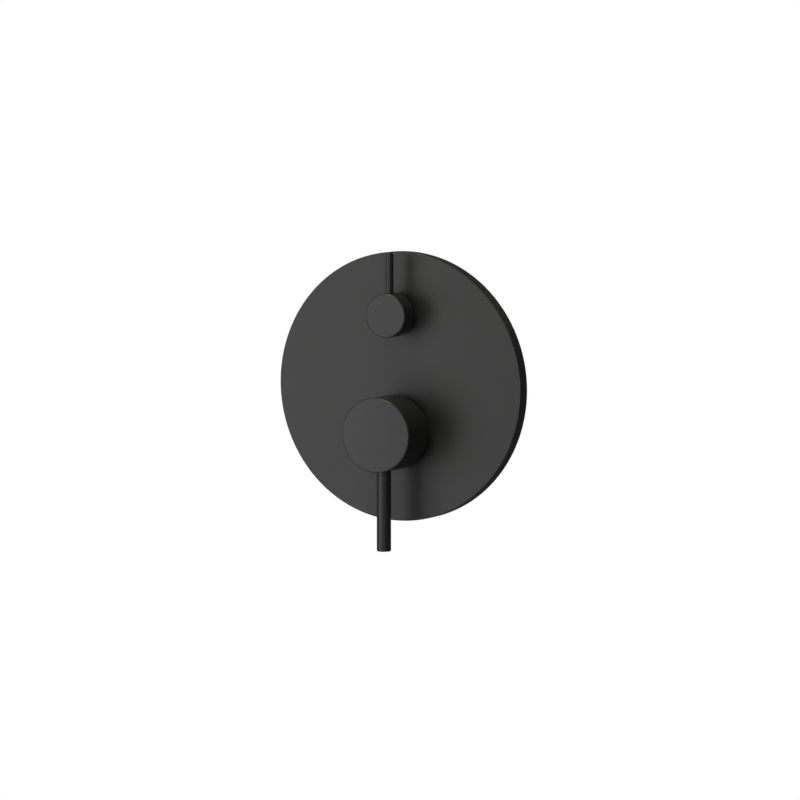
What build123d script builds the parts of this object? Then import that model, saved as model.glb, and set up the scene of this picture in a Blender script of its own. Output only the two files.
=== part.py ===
from build123d import *

import os
from math import cos, pi, radians, sin

# Concealed bath shower mixer. Lengths are in millimetres and angles in degrees.
# The origin is the centre of the plate's rear rim, on the finished wall. -Y points out of the wall,
# +X to the right and +Z up. A "height" is counted out of the wall, and a "depth" back into it.

# Clearances
RUNNING = 0.05
SNUG = 0.03
FREE = 0.3
SLIDER_PLAY = 0.2

# How far a cutting tool runs past the surface that it cuts
OVERCUT = 1.0

# Wall plate and its foam seal
PLATE_DIAMETER = 170.0
PLATE_HEIGHT = 9.2
PLATE_FACE = 2.6
PLATE_RIM = 3.0
PLATE_EDGE = 0.4
SEAL_WIDTH = 4.0
SEAL_THICKNESS = 4.0

# Axes of the two controls
MAIN_AXIS_Z = -28.1
DIVERTER_AXIS_Z = 45.9

# Gap between the plate and the backs of both knobs
KNOB_GAP = 5.8

# Main knob, its pin and its grub screw
MAIN_KNOB_DIAMETER = 47.0
MAIN_KNOB_LENGTH = 27.0
MAIN_KNOB_WALL = 3.2
MAIN_KNOB_FACE = 5.0
MAIN_KNOB_CROWN = 0.33
MAIN_HUB_DIAMETER = 18.0
MAIN_HUB_LENGTH = 17.0
MAIN_RIB_WIDTH = 13.0
MAIN_RIB_LENGTH = 19.0
MAIN_PIN_DIAMETER = 9.0
MAIN_PIN_REACH = 50.4
MAIN_PIN_INSET = 12.1
MAIN_TENON_DIAMETER = 6.0
MAIN_TENON_LENGTH = 9.0
MAIN_GRUB_DIAMETER = 5.0
MAIN_GRUB_LENGTH = 6.0
MAIN_GRUB_INSET = 20.6
MAIN_GRUB_KEY = 2.5

# Diverter knob, its pin and its grub screw
DIVERTER_KNOB_DIAMETER = 27.6
DIVERTER_KNOB_LENGTH = 13.2
DIVERTER_KNOB_WALL = 2.4
DIVERTER_KNOB_FACE = 4.0
DIVERTER_HUB_DIAMETER = 13.2
DIVERTER_HUB_LENGTH = 8.2
DIVERTER_RIB_WIDTH = 8.0
DIVERTER_RIB_LENGTH = 7.2
DIVERTER_PIN_DIAMETER = 5.0
DIVERTER_PIN_REACH = 25.8
DIVERTER_PIN_INSET = 6.0
DIVERTER_TENON_DIAMETER = 3.6
DIVERTER_TENON_LENGTH = 4.0
DIVERTER_GRUB_DIAMETER = 4.0
DIVERTER_GRUB_LENGTH = 4.0
DIVERTER_GRUB_INSET = 8.2
DIVERTER_GRUB_KEY = 2.0

KNOB_EDGE = 0.8
PIN_EDGE = 0.4
PIN_SOCKET = 1.4

# Cover sleeves and the rings that grip the plate's two holes
SLEEVE_BELOW_PLATE = 0.4
MAIN_SLEEVE_STANDS = 3.0
MAIN_SLEEVE_DIAMETER = 38.0
MAIN_SLEEVE_WALL = 2.2
MAIN_SKIRT_WALL = 2.4
MAIN_SKIRT_LENGTH = 7.0
DIVERTER_SLEEVE_STANDS = 5.3
DIVERTER_SLEEVE_DIAMETER = 22.0
DIVERTER_SLEEVE_WALL = 1.6
DIVERTER_FOOT_DIAMETER = 26.0
SLEEVE_EDGE = 0.5
RING_CORD = 1.5
RING_SQUEEZE = 0.4

# Levels in the body, from the finished wall
SEAT_DEPTH = 26.0
COLLAR_HEIGHT = 2.0
NUT_LENGTH = 5.5
NUT_RECESS = 0.5
HEADWORK_FACE_DEPTH = 3.0

# Mixing cartridge
CARTRIDGE_DIAMETER = 34.8
CARTRIDGE_WALL = 1.6
NECK_DIAMETER = 25.0
NECK_HEIGHT = 7.0
BASE_THICKNESS = 3.0
DISC_THICKNESS = 3.0
MOVING_DISC_DIAMETER = 23.8
DRIVE_PLATE_THICKNESS = 5.7
DRIVE_PLATE_WIDTH = 19.0
CARRIER_FLANGE = 3.3
CARRIER_BARREL_DIAMETER = 18.6
CARRIER_STANDS = 1.0
RAIL_WIDTH = 2.8
RAIL_DROP = 3.7
RAIL_LENGTH = 16.0
INLET_HOLE = 5.0
INLET_OFFSET_X = 4.6
INLET_OFFSET_Z = -7.2
MIXED_HOLE = 7.0
MIXED_OFFSET_Z = 4.0
MIXING_POCKET = 12.0
MIXING_POCKET_OFFSET = 2.4
MIXING_POCKET_DEPTH = 1.8
PORT_SEAL_WALL = 1.3
PEG_DIAMETER = 4.0
PEG_LENGTH = 3.0
PEG_OFFSET_X = 12.6
PEG_OFFSET_Z = 5.0

# Lever of the mixing cartridge
PIVOT_HEIGHT = 2.0
PIVOT_PIN_DIAMETER = 3.0
PIVOT_PIN_LENGTH = 17.6
LEVER_WIDTH = 7.0
LEVER_TOP_INSET = 6.2
LEVER_ARM_DIAMETER = 3.4
LEVER_BALL_DIAMETER = 4.8
LEVER_BALL_DEPTH = 13.5
LEVER_SHOULDER_DEPTH = 1.5
LEVER_SLOT_LENGTH = 10.8
BALL_POCKET_DEPTH = 5.0

# Ring nut of the mixing cartridge
NUT_DIAMETER = 36.8
NUT_SLOT_WIDTH = 4.0
NUT_SLOT_DEPTH = 2.0
NUT_SLOTS = 4

# Diverter headwork, spindle and discs
HEADWORK_THREAD_DIAMETER = 24.0
HEADWORK_THREAD_LENGTH = 9.0
HEADWORK_HEX = 24.0
HEADWORK_HEX_LENGTH = 5.0
HEADWORK_HEX_CHAMFER = 1.2
HEADWORK_NECK_DIAMETER = 16.0
HEADWORK_NECK_LENGTH = 7.5
CAGE_DIAMETER = 19.0
CAGE_WALL = 1.3
CAGE_WINDOW_WIDTH = 9.0
CAGE_WINDOW_LENGTH = 6.0
CAGE_WINDOW_LIFT = 6.2
BASE_SEAL_THICKNESS = 1.0
DIVERTER_DISC_THICKNESS = 2.6
DIVERTER_PORT = 5.2
DIVERTER_PORT_RADIUS = 4.6
DIVERTER_PORT_ANGLE = 45.0
SPINDLE_DIAMETER = 11.0
SPINDLE_STEM = 6.0
SPINDLE_COLLAR = 15.0
SPINDLE_COLLAR_LENGTH = 1.5
SPINDLE_DRIVE_LENGTH = 14.0
SPINDLE_DRIVE_WIDTH = 3.6
SPINDLE_DRIVE_HEIGHT = 1.6
SPINDLE_TOP_INSET = 4.7
SPLINE_TEETH = 20
SPLINE_TIP = 8.0
SPLINE_ROOT = 7.2
SPINDLE_RING_CORD = 1.2
SPINDLE_RING_HEIGHTS = (1.5, 5.5)
CLIP_THICKNESS = 0.8
CLIP_OVERHANG = 1.2
CLIP_GROOVE = 0.9
CLIP_GAP = 5.0

# Cast body and its pipe ports
MAIN_BOSS_DIAMETER = 47.0
COLLAR_DIAMETER = 40.0
COLLAR_LENGTH = 10.0
DIVERTER_BOSS_DIAMETER = 33.0
DIVERTER_CHAMBER_DIAMETER = 22.0
PORT_PLANE_DEPTH = 38.0
PORT_THREAD_DIAMETER = 18.6
PORT_THREAD_LENGTH = 14.0
PORT_ARM_DIAMETER = 25.0
PORT_BEAD_RISE = 1.5
PORT_BEAD_LENGTH = 7.0
INLET_REACH = 49.0
SHOWER_PORT_Z = 72.0
BATH_PORT_Z = -76.0
INLET_CHANNEL = 10.0
INLET_WALL = 5.2
GALLERY_DIAMETER = 8.0
GALLERY_START_DEPTH = 36.0
GALLERY_END_DEPTH = 21.0
GALLERY_ENTRY = 9.0
SHOWER_CHANNEL = 7.2
SHOWER_CHANNEL_X = 4.2
BATH_TUBE_DIAMETER = 16.0
BATH_TUBE_OFFSET = 12.0
BATH_CHANNEL = 9.0
BATH_TURN_Z = -58.5
WEB_FRONT_DEPTH = 20.0
BOSS_BACK_COVER = 1.5
BOSS_BACK_EDGE = 1.2
CASTING_FILLET = 2.5
BATH_TUBE_FILLET = 2.0
LUG_FILLET = 1.5
LUG_SPACING = 72.0
LUG_DIAMETER = 14.0
LUG_THICKNESS = 5.0
LUG_HOLE = 6.0
LUG_Z = 9.0

# Radii and levels worked out from the sizes above
knob_back = PLATE_HEIGHT + KNOB_GAP
main_front = knob_back + MAIN_KNOB_LENGTH
diverter_front = knob_back + DIVERTER_KNOB_LENGTH
main_sleeve_front = PLATE_HEIGHT + MAIN_SLEEVE_STANDS
diverter_sleeve_front = PLATE_HEIGHT + DIVERTER_SLEEVE_STANDS
sleeve_shoulder = PLATE_HEIGHT - PLATE_FACE - SLEEVE_BELOW_PLATE
ring_level = PLATE_HEIGHT - PLATE_FACE / 2
main_hole = MAIN_SLEEVE_DIAMETER / 2 + RING_SQUEEZE
diverter_hole = DIVERTER_SLEEVE_DIAMETER / 2 + RING_SQUEEZE

seat = -SEAT_DEPTH
base_top = seat + BASE_THICKNESS
fixed_disc_top = base_top + DISC_THICKNESS
moving_disc_top = fixed_disc_top + DISC_THICKNESS
drive_plate_top = moving_disc_top + DRIVE_PLATE_THICKNESS
carrier_bottom = drive_plate_top + SLIDER_PLAY
flange_top = carrier_bottom + CARRIER_FLANGE
shoulder = COLLAR_HEIGHT - NUT_RECESS - NUT_LENGTH
housing_radius = CARTRIDGE_DIAMETER / 2
housing_inside = housing_radius - CARTRIDGE_WALL
barrel_radius = CARRIER_BARREL_DIAMETER / 2
carrier_top = NECK_HEIGHT + CARRIER_STANDS
lever_top = main_front - LEVER_TOP_INSET

headwork_face = -HEADWORK_FACE_DEPTH
thread_end = headwork_face - HEADWORK_THREAD_LENGTH
hex_top = headwork_face + HEADWORK_HEX_LENGTH
neck_top = hex_top + HEADWORK_NECK_LENGTH
cage_bottom = seat + BASE_SEAL_THICKNESS
diverter_fixed_top = cage_bottom + DIVERTER_DISC_THICKNESS
diverter_moving_top = diverter_fixed_top + DIVERTER_DISC_THICKNESS
collar_top = thread_end - SNUG
spindle_top = diverter_front - SPINDLE_TOP_INSET
spline_start = neck_top + CLIP_THICKNESS + CLIP_GROOVE
cage_inside = CAGE_DIAMETER / 2 - CAGE_WALL

inlet_z = MAIN_AXIS_Z + INLET_OFFSET_Z
boss_back = PORT_PLANE_DEPTH + PORT_ARM_DIAMETER / 2 + BOSS_BACK_COVER
tube_depth = PORT_PLANE_DEPTH + BATH_TUBE_OFFSET
back_depth = tube_depth + BATH_TUBE_DIAMETER / 2

UPRIGHT = (Align.CENTER, Align.CENTER, Align.MIN)
WALL = Plane((0, 0, 0), x_dir=(1, 0, 0), z_dir=(0, -1, 0))
MAIN = Plane((0, 0, MAIN_AXIS_Z), x_dir=(1, 0, 0), z_dir=(0, -1, 0))
DIVERTER = Plane((0, 0, DIVERTER_AXIS_Z), x_dir=(1, 0, 0), z_dir=(0, -1, 0))


def turned(*outline):
    """Solid of revolution about Z from (radius, height) points."""
    return revolve(Plane.XZ * make_face(Polyline(*outline, close=True)), Axis.Z)


def tube(outer, inner, bottom, top):
    """Ring or tube about Z between two heights."""
    return turned((inner, bottom), (outer, bottom), (outer, top), (inner, top))


def disc(radius, bottom, top, x=0.0, y=0.0):
    """Cylinder along Z between two heights, at a point of the plan."""
    return Pos(x, y, bottom) * Cylinder(radius, top - bottom, align=UPRIGHT)


def block(width, length, bottom, top, x=0.0, y=0.0):
    """Rectangular block between two heights, centred on a point of the plan."""
    return Pos(x, y, bottom) * Box(width, length, top - bottom, align=UPRIGHT)


def rod(start, end, diameter):
    """Round bar from one point to another."""
    run = Vector(*end) - Vector(*start)
    return Plane(start, z_dir=run) * Cylinder(diameter / 2, run.length, align=UPRIGHT)


def ring(radius, cord, height):
    """O-ring about Z: radius is the middle of its cord."""
    return Pos(0, 0, height) * Torus(radius, cord / 2)


def outer_rims(solid, radius):
    """Round edges about Z of one radius."""
    return [e for e in solid.edges().filter_by(GeomType.CIRCLE) if abs(e.radius - radius) < 0.01]


# Trim that shows on the wall


def wall_plate():
    radius = PLATE_DIAMETER / 2
    inside = PLATE_HEIGHT - PLATE_FACE
    dish = turned(
        (0, PLATE_HEIGHT),
        (radius, PLATE_HEIGHT),
        (radius, 0),
        (radius - PLATE_RIM, 0),
        (radius - PLATE_RIM, inside),
        (0, inside),
    )
    front_edge = max(outer_rims(dish, radius), key=lambda edge: edge.center().Z)
    dish = fillet(front_edge, PLATE_EDGE)
    dish -= disc(main_hole, inside, PLATE_HEIGHT, y=MAIN_AXIS_Z)
    dish -= disc(diverter_hole, inside, PLATE_HEIGHT, y=DIVERTER_AXIS_Z)
    return dish


def plate_seal():
    outer = PLATE_DIAMETER / 2 - PLATE_RIM - SNUG
    return tube(outer, outer - SEAL_WIDTH, 0, SEAL_THICKNESS)


def knob_cup(radius, front, wall, face, hub_radius, hub_length):
    """Hollow cylinder knob, open at the back, with a central hub."""
    return turned(
        (0, front),
        (radius, front),
        (radius, knob_back),
        (radius - wall, knob_back),
        (radius - wall, front - face),
        (hub_radius, front - face),
        (hub_radius, front - face - hub_length),
        (0, front - face - hub_length),
    )


def main_knob():
    radius = MAIN_KNOB_DIAMETER / 2
    inner_face = main_front - MAIN_KNOB_FACE
    cup = knob_cup(
        radius, main_front, MAIN_KNOB_WALL, MAIN_KNOB_FACE, MAIN_HUB_DIAMETER / 2, MAIN_HUB_LENGTH
    )
    # The face is slightly crowned, so that it catches the light from one side
    dome = (radius**2 + MAIN_KNOB_CROWN**2) / (2 * MAIN_KNOB_CROWN)
    cup &= Pos(0, 0, main_front - dome) * Rot(90, 0, 0) * Sphere(dome)
    cup = fillet(outer_rims(cup, radius), KNOB_EDGE)
    # The rib below the hub takes the pin's tenon and the grub screw
    rib_depth = radius - MAIN_KNOB_WALL / 2
    cup += block(MAIN_RIB_WIDTH, rib_depth, inner_face - MAIN_RIB_LENGTH, inner_face, y=-rib_depth / 2)
    stem = LEVER_WIDTH + 2 * RUNNING
    hub_back = inner_face - max(MAIN_HUB_LENGTH, MAIN_RIB_LENGTH)
    cup -= block(stem, stem, hub_back, lever_top)
    pin_level = main_front - MAIN_PIN_INSET
    socket = -(radius - PIN_SOCKET)
    cup -= rod((0, -radius, pin_level), (0, socket, pin_level), MAIN_PIN_DIAMETER + 2 * RUNNING)
    tenon_end = socket + MAIN_TENON_LENGTH
    cup -= rod((0, socket, pin_level), (0, tenon_end, pin_level), MAIN_TENON_DIAMETER + 2 * RUNNING)
    grub_level = main_front - MAIN_GRUB_INSET
    cup -= rod((0, -radius, grub_level), (0, 0, grub_level), MAIN_GRUB_DIAMETER + 2 * RUNNING)
    return cup


def lever_pin(knob_radius, level, diameter, reach, tenon_diameter, tenon_length):
    """Round pin that stands on a knob along +Y, with a tenon screwed into its socket."""
    seat_y = knob_radius - PIN_SOCKET
    pin = rod((0, seat_y, level), (0, knob_radius + reach, level), diameter)
    pin = chamfer(pin.faces().sort_by(Axis.Y)[-1].edges(), PIN_EDGE)
    return pin + rod((0, seat_y - tenon_length + FREE, level), (0, seat_y, level), tenon_diameter)


def grub_screw(inner, length, level, diameter, key):
    """Headless screw along -Y with a hexagon socket in its outer end."""
    screw = rod((0, -inner, level), (0, -inner - length, level), diameter)
    socket = extrude(RegularPolygon(key / 2, 6, major_radius=False), length / 2)
    return screw - Plane((0, -inner - length, level), z_dir=(0, 1, 0)) * socket


def spline_face(tip, root):
    """Cross-section of the spindle's splined end."""
    points = []
    for step in range(2 * SPLINE_TEETH):
        radius = (tip if step % 2 == 0 else root) / 2
        angle = pi * step / SPLINE_TEETH
        points.append((radius * cos(angle), radius * sin(angle)))
    return make_face(Polyline(*points, close=True))


def diverter_knob():
    radius = DIVERTER_KNOB_DIAMETER / 2
    inner_face = diverter_front - DIVERTER_KNOB_FACE
    cup = knob_cup(
        radius,
        diverter_front,
        DIVERTER_KNOB_WALL,
        DIVERTER_KNOB_FACE,
        DIVERTER_HUB_DIAMETER / 2,
        DIVERTER_HUB_LENGTH,
    )
    cup = fillet(outer_rims(cup, radius), KNOB_EDGE)
    # One rib runs across the hub: its upper end takes the pin, its lower end the grub screw
    rib_depth = 2 * radius - DIVERTER_KNOB_WALL
    cup += block(DIVERTER_RIB_WIDTH, rib_depth, inner_face - DIVERTER_RIB_LENGTH, inner_face)
    hub_back = inner_face - DIVERTER_HUB_LENGTH
    bore = spline_face(SPLINE_TIP + 4 * RUNNING, SPLINE_ROOT + 4 * RUNNING)
    cup -= Pos(0, 0, hub_back) * extrude(bore, spindle_top + FREE - hub_back)
    pin_level = diverter_front - DIVERTER_PIN_INSET
    socket = radius - PIN_SOCKET
    cup -= rod((0, radius, pin_level), (0, socket, pin_level), DIVERTER_PIN_DIAMETER + 2 * RUNNING)
    tenon_end = socket - DIVERTER_TENON_LENGTH
    cup -= rod(
        (0, socket, pin_level), (0, tenon_end, pin_level), DIVERTER_TENON_DIAMETER + 2 * RUNNING
    )
    grub_level = diverter_front - DIVERTER_GRUB_INSET
    cup -= rod((0, -radius, grub_level), (0, 0, grub_level), DIVERTER_GRUB_DIAMETER + 2 * RUNNING)
    return cup


# Sleeves between the plate and the knobs


def sleeve_groove(outer):
    """Ring groove in a sleeve, level with the plate's face."""
    half = RING_CORD / 2 + RUNNING
    floor = outer + RING_SQUEEZE - RING_CORD
    return tube(outer + OVERCUT, floor, ring_level - half, ring_level + half)


def rounded_front(sleeve):
    """Sleeve with both edges of its front end rounded."""
    return fillet(sleeve.faces().sort_by(Axis.Z)[-1].edges(), SLEEVE_EDGE)


def main_sleeve():
    outer = MAIN_SLEEVE_DIAMETER / 2
    inner = outer - MAIN_SLEEVE_WALL
    skirt_inside = COLLAR_DIAMETER / 2 + RUNNING
    skirt = skirt_inside + MAIN_SKIRT_WALL
    skirt_end = COLLAR_HEIGHT - MAIN_SKIRT_LENGTH
    sleeve = turned(
        (inner, COLLAR_HEIGHT),
        (skirt_inside, COLLAR_HEIGHT),
        (skirt_inside, skirt_end),
        (skirt, skirt_end),
        (skirt, sleeve_shoulder),
        (outer, sleeve_shoulder),
        (outer, main_sleeve_front),
        (inner, main_sleeve_front),
    )
    return rounded_front(sleeve) - sleeve_groove(outer)


def diverter_sleeve():
    outer = DIVERTER_SLEEVE_DIAMETER / 2
    thread = HEADWORK_NECK_DIAMETER / 2 + RUNNING
    foot = DIVERTER_FOOT_DIAMETER / 2
    sleeve = turned(
        (thread, hex_top),
        (foot, hex_top),
        (foot, sleeve_shoulder),
        (outer, sleeve_shoulder),
        (outer, diverter_sleeve_front),
        (outer - DIVERTER_SLEEVE_WALL, diverter_sleeve_front),
        (outer - DIVERTER_SLEEVE_WALL, neck_top),
        (thread, neck_top),
    )
    return rounded_front(sleeve) - sleeve_groove(outer)


def sleeve_ring(outer):
    """Ring in a sleeve's groove that grips the edge of the plate's hole."""
    return ring(outer + RING_SQUEEZE - RING_CORD / 2, RING_CORD - 2 * SNUG, ring_level)


# Mixing cartridge


def port_places():
    """Plan places and diameters of the cold, hot and mixed water holes."""
    return [
        (INLET_OFFSET_X, INLET_OFFSET_Z, INLET_HOLE),
        (-INLET_OFFSET_X, INLET_OFFSET_Z, INLET_HOLE),
        (0.0, MIXED_OFFSET_Z, MIXED_HOLE),
    ]


def cartridge_nut():
    radius = NUT_DIAMETER / 2
    top = COLLAR_HEIGHT - NUT_RECESS
    nut = tube(radius, NECK_DIAMETER / 2 + FREE, shoulder, top)
    for turn in range(NUT_SLOTS):
        slot = block(2 * radius, NUT_SLOT_WIDTH, top - NUT_SLOT_DEPTH, top, x=radius)
        nut -= Rot(0, 0, turn * 360 / NUT_SLOTS) * slot
    return nut


def cartridge_housing():
    barrel_bore = barrel_radius + RUNNING
    return turned(
        (housing_inside, base_top),
        (housing_radius, base_top),
        (housing_radius, shoulder),
        (NECK_DIAMETER / 2, shoulder),
        (NECK_DIAMETER / 2, NECK_HEIGHT),
        (barrel_bore, NECK_HEIGHT),
        (barrel_bore, flange_top + RUNNING),
        (housing_inside, flange_top + RUNNING),
    )


def cartridge_base():
    base = disc(housing_radius, seat, base_top)
    for x, y, hole in port_places():
        base -= disc(hole / 2 + PORT_SEAL_WALL, seat, base_top, x, y)
    for side in (-1, 1):
        base += disc(PEG_DIAMETER / 2, seat - PEG_LENGTH, seat, side * PEG_OFFSET_X, PEG_OFFSET_Z)
    return base


def port_seals():
    seals = []
    for x, y, hole in port_places():
        wall = tube(hole / 2 + PORT_SEAL_WALL - SNUG, hole / 2, seat, base_top - SNUG)
        seals.append(Pos(x, y, 0) * wall)
    return Compound(children=seals)


def fixed_disc():
    plate = disc(housing_inside - RUNNING, base_top, fixed_disc_top)
    for x, y, hole in port_places():
        plate -= disc(hole / 2, base_top, fixed_disc_top, x, y)
    return plate


def moving_disc():
    bottom = fixed_disc_top + SNUG
    plate = disc(MOVING_DISC_DIAMETER / 2, bottom, moving_disc_top)
    pocket_top = fixed_disc_top + MIXING_POCKET_DEPTH
    return plate - disc(MIXING_POCKET / 2, bottom, pocket_top, y=MIXING_POCKET_OFFSET)


def disc_drive_plate():
    radius = MOVING_DISC_DIAMETER / 2
    slider = disc(radius, moving_disc_top, drive_plate_top)
    slider &= block(DRIVE_PLATE_WIDTH, 2 * radius, moving_disc_top, drive_plate_top)
    pocket = LEVER_BALL_DIAMETER + 2 * SLIDER_PLAY
    return slider - block(pocket, pocket, drive_plate_top - BALL_POCKET_DEPTH, drive_plate_top)


def lever_carrier():
    carrier = turned(
        (0, carrier_bottom),
        (housing_inside - RUNNING, carrier_bottom),
        (housing_inside - RUNNING, flange_top),
        (barrel_radius, flange_top),
        (barrel_radius, carrier_top),
        (0, carrier_top),
    )
    # Two rails under the flange keep the slider square to the lever
    for side in (-1, 1):
        rail = side * (DRIVE_PLATE_WIDTH / 2 + SLIDER_PLAY + RAIL_WIDTH / 2)
        carrier += block(RAIL_WIDTH, RAIL_LENGTH, carrier_bottom - RAIL_DROP, carrier_bottom, x=rail)
    slot_width = LEVER_WIDTH + 2 * FREE
    carrier -= block(slot_width, LEVER_SLOT_LENGTH, carrier_bottom, carrier_top)
    half = barrel_radius + OVERCUT
    hole = PIVOT_PIN_DIAMETER + 2 * SNUG
    return carrier - rod((-half, 0, PIVOT_HEIGHT), (half, 0, PIVOT_HEIGHT), hole)


def lever_pivot_pin():
    half = PIVOT_PIN_LENGTH / 2
    return rod((-half, 0, PIVOT_HEIGHT), (half, 0, PIVOT_HEIGHT), PIVOT_PIN_DIAMETER)


def cartridge_lever():
    lever = block(LEVER_WIDTH, LEVER_WIDTH, -LEVER_SHOULDER_DEPTH, lever_top)
    lever += disc(LEVER_ARM_DIAMETER / 2, -LEVER_BALL_DEPTH, -LEVER_SHOULDER_DEPTH)
    lever += Pos(0, 0, -LEVER_BALL_DEPTH) * Sphere(LEVER_BALL_DIAMETER / 2)
    eye = PIVOT_PIN_DIAMETER + 2 * RUNNING
    return lever - rod((-LEVER_WIDTH, 0, PIVOT_HEIGHT), (LEVER_WIDTH, 0, PIVOT_HEIGHT), eye)


# Diverter


def diverter_ports():
    """Plan places of the shower and bath holes, right and left of the top."""
    angle = radians(90 - DIVERTER_PORT_ANGLE)
    x = DIVERTER_PORT_RADIUS * cos(angle)
    y = DIVERTER_PORT_RADIUS * sin(angle)
    return [(x, y), (-x, y)]


def diverter_headwork():
    thread = HEADWORK_THREAD_DIAMETER / 2 - RUNNING
    bore = SPINDLE_DIAMETER / 2 + RUNNING
    shell = turned(
        (cage_inside, cage_bottom),
        (CAGE_DIAMETER / 2, cage_bottom),
        (CAGE_DIAMETER / 2, thread_end),
        (thread, thread_end),
        (thread, headwork_face),
        (HEADWORK_NECK_DIAMETER / 2, headwork_face),
        (HEADWORK_NECK_DIAMETER / 2, neck_top),
        (bore, neck_top),
        (bore, thread_end),
        (cage_inside, thread_end),
    )
    hexagon = extrude(RegularPolygon(HEADWORK_HEX / 2, 6, major_radius=False), HEADWORK_HEX_LENGTH)
    corner = HEADWORK_HEX / 2 / cos(pi / 6)
    blank = Cylinder(corner, HEADWORK_HEX_LENGTH, align=UPRIGHT)
    blank = chamfer(blank.faces().sort_by(Axis.Z)[-1].edges(), HEADWORK_HEX_CHAMFER)
    shell += Pos(0, 0, headwork_face) * (hexagon & blank) - disc(bore, headwork_face, hex_top)
    window_bottom = cage_bottom + CAGE_WINDOW_LIFT
    window = block(
        2 * CAGE_DIAMETER, CAGE_WINDOW_WIDTH, window_bottom, window_bottom + CAGE_WINDOW_LENGTH
    )
    shell -= window
    shell -= Rot(0, 0, 90) * window
    half = RING_CORD / 2 + RUNNING
    level = thread_end + RING_CORD
    return shell - tube(thread + OVERCUT, thread + RUNNING - RING_CORD, level - half, level + half)


def headwork_o_ring():
    outer = HEADWORK_THREAD_DIAMETER / 2
    return ring(outer - RING_CORD / 2, RING_CORD - 2 * SNUG, thread_end + RING_CORD)


def diverter_base_seal():
    seal = disc(CAGE_DIAMETER / 2, seat, cage_bottom)
    for x, y in diverter_ports():
        seal -= disc(DIVERTER_PORT / 2, seat, cage_bottom, x, y)
    return seal


def diverter_fixed_disc():
    plate = disc(cage_inside - RUNNING, cage_bottom, diverter_fixed_top)
    for x, y in diverter_ports():
        plate -= disc(DIVERTER_PORT / 2, cage_bottom, diverter_fixed_top, x, y)
    return plate


def diverter_moving_disc():
    bottom = diverter_fixed_top + SNUG
    plate = disc(cage_inside - 2 * RUNNING, bottom, diverter_moving_top)
    plate -= disc(DIVERTER_PORT / 2, bottom, diverter_moving_top, y=DIVERTER_PORT_RADIUS)
    groove_bottom = diverter_moving_top - SPINDLE_DRIVE_HEIGHT / 2
    groove = SPINDLE_DRIVE_WIDTH + 2 * RUNNING
    return plate - block(2 * cage_inside, groove, groove_bottom, diverter_moving_top)


def ring_grooves(radius):
    """Floor radius and half width of the spindle's ring grooves."""
    return radius + RUNNING - SPINDLE_RING_CORD, SPINDLE_RING_CORD / 2 + RUNNING


def diverter_spindle():
    radius = SPINDLE_DIAMETER / 2
    drive_bottom = diverter_moving_top - SPINDLE_DRIVE_HEIGHT / 2
    drive_top = drive_bottom + SPINDLE_DRIVE_HEIGHT
    clip_floor = SPLINE_ROOT / 2
    spindle = turned(
        (0, drive_top),
        (SPINDLE_STEM / 2, drive_top),
        (SPINDLE_STEM / 2, collar_top - SPINDLE_COLLAR_LENGTH),
        (SPINDLE_COLLAR / 2, collar_top - SPINDLE_COLLAR_LENGTH),
        (SPINDLE_COLLAR / 2, collar_top),
        (radius, collar_top),
        (radius, neck_top + SNUG),
        (clip_floor, neck_top + SNUG),
        (clip_floor, neck_top + SNUG + CLIP_THICKNESS),
        (radius - CLIP_OVERHANG / 2, neck_top + SNUG + CLIP_THICKNESS),
        (radius - CLIP_OVERHANG / 2, spline_start),
        (0, spline_start),
    )
    spindle += block(SPINDLE_DRIVE_LENGTH, SPINDLE_DRIVE_WIDTH, drive_bottom, drive_top)
    spline = extrude(spline_face(SPLINE_TIP, SPLINE_ROOT), spindle_top - spline_start)
    spindle += Pos(0, 0, spline_start) * spline
    floor, half = ring_grooves(radius)
    for level in SPINDLE_RING_HEIGHTS:
        spindle -= tube(radius + OVERCUT, floor, level - half, level + half)
    return spindle


def spindle_o_rings():
    floor, _ = ring_grooves(SPINDLE_DIAMETER / 2)
    middle = floor + SPINDLE_RING_CORD / 2
    cord = SPINDLE_RING_CORD - 2 * SNUG
    return Compound(children=[ring(middle, cord, level) for level in SPINDLE_RING_HEIGHTS])


def spindle_clip():
    outer = SPINDLE_DIAMETER / 2 + CLIP_OVERHANG
    bottom = neck_top + SNUG
    clip = tube(outer, SPLINE_ROOT / 2 + RUNNING, bottom + SNUG, bottom + CLIP_THICKNESS - SNUG)
    return clip - block(2 * outer, CLIP_GAP, bottom, bottom + CLIP_THICKNESS, x=outer)


# Body in the wall


def port(mouth, inward, channel_end, channel):
    """Threaded pipe port from its mouth, with the narrower channel behind the thread."""
    start = Vector(*mouth)
    thread_stop = start + Vector(*inward) * PORT_THREAD_LENGTH
    return rod(start, thread_stop, PORT_THREAD_DIAMETER) + rod(thread_stop, channel_end, channel)


def bead(mouth, inward):
    """Thick collar round the mouth of a port, with a sloped shoulder."""
    arm = PORT_ARM_DIAMETER / 2
    collar = turned(
        (0, 0),
        (arm + PORT_BEAD_RISE, 0),
        (arm + PORT_BEAD_RISE, PORT_BEAD_LENGTH),
        (arm, PORT_BEAD_LENGTH + PORT_BEAD_RISE),
        (0, PORT_BEAD_LENGTH + PORT_BEAD_RISE),
    )
    return Plane(mouth, z_dir=inward) * collar


def boss(radius, front):
    """Round boss of the casting, with a soft edge at its back."""
    solid = disc(radius, -boss_back, front)
    return fillet(solid.faces().sort_by(Axis.Z)[0].edges(), BOSS_BACK_EDGE)


def cast_on(body, piece, radius):
    """Joins a piece to the casting with a hollow radius along the seam."""
    whole = body + piece
    return fillet(new_edges(body, piece, combined=whole), radius)


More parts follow.
